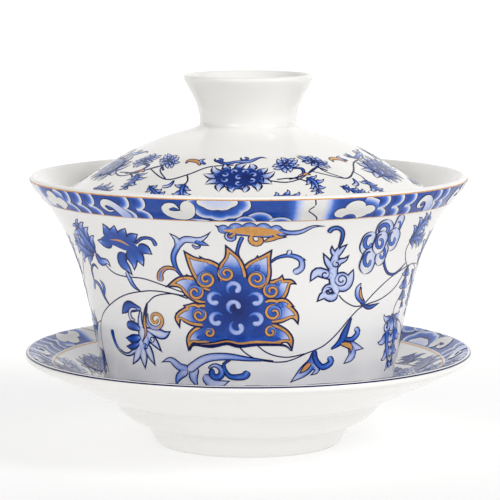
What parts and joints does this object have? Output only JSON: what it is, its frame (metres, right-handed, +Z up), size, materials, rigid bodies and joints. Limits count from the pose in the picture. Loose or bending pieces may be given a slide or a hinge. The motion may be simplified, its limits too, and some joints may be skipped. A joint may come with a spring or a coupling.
{
  "type": "gaiwan",
  "caption": "Lidded porcelain tea bowl on a footed saucer: flared bowl, domed lid with a ring knob, blue scroll and cloud-band decoration.",
  "frame": {"origin": "centre of the saucer's foot ring, on the surface the gaiwan stands on", "axes": "+Z up along the axis that all three pieces are turned about; -Y is the front, where the main flower faces"},
  "size_m": [0.1126, 0.1126, 0.0929],
  "materials": {
    "white_glaze": "glossy clear glaze over white porcelain",
    "cobalt_blue": "painted cobalt blue line and wash under the glaze",
    "gilding": "ochre gold enamel, satin"
  },
  "bodies": {
    "saucer": {"saucer": "white_glaze"},
    "bowl": {"bowl": "white_glaze"},
    "lid": {"lid": "white_glaze"}
  },
  "joints": [
    {"name": "bowl_lift", "type": "slide", "parent": "saucer", "child": "bowl", "axis": [0, 0, 1], "range_m": [0, 0.06]},
    {"name": "lid_lift", "type": "slide", "parent": "bowl", "child": "lid", "axis": [0, 0, 1], "range_m": [0, 0.06]}
  ]
}
